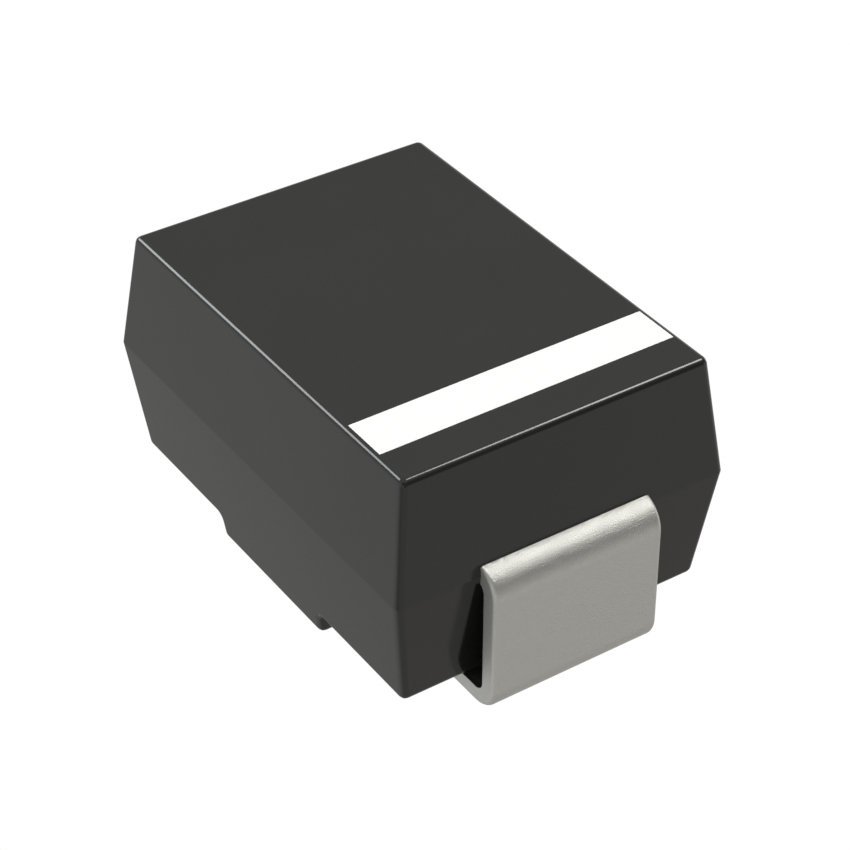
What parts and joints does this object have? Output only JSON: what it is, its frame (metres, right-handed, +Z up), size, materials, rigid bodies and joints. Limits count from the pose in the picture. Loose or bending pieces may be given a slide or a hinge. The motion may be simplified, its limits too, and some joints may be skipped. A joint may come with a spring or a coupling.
{
  "type": "surface mount rectifier diode",
  "caption": "Small black moulded power diode with a white cathode band and flat tinned leads folded under its ends, for soldering flat on a circuit board.",
  "frame": {"origin": "on the seating plane (the undersides of the feet), under the middle of the case", "axes": "+X along the case towards the banded cathode lead, +Y across the case, +Z up out of the circuit board"},
  "size_m": [0.0044, 0.003, 0.0022],
  "materials": {
    "epoxy": "smooth moulded black epoxy",
    "tin_plate": "matte tin plate over copper",
    "silicon": "polished silicon with a glass-passivated edge",
    "solder": "reflowed solder",
    "white_ink": "printed white ink"
  },
  "bodies": {
    "root": {"case": "epoxy", "cathode_lead": "tin_plate", "anode_lead": "tin_plate", "silicon_die": "silicon", "cathode_solder": "solder", "anode_solder": "solder", "cathode_band": "white_ink"}
  },
  "joints": []
}
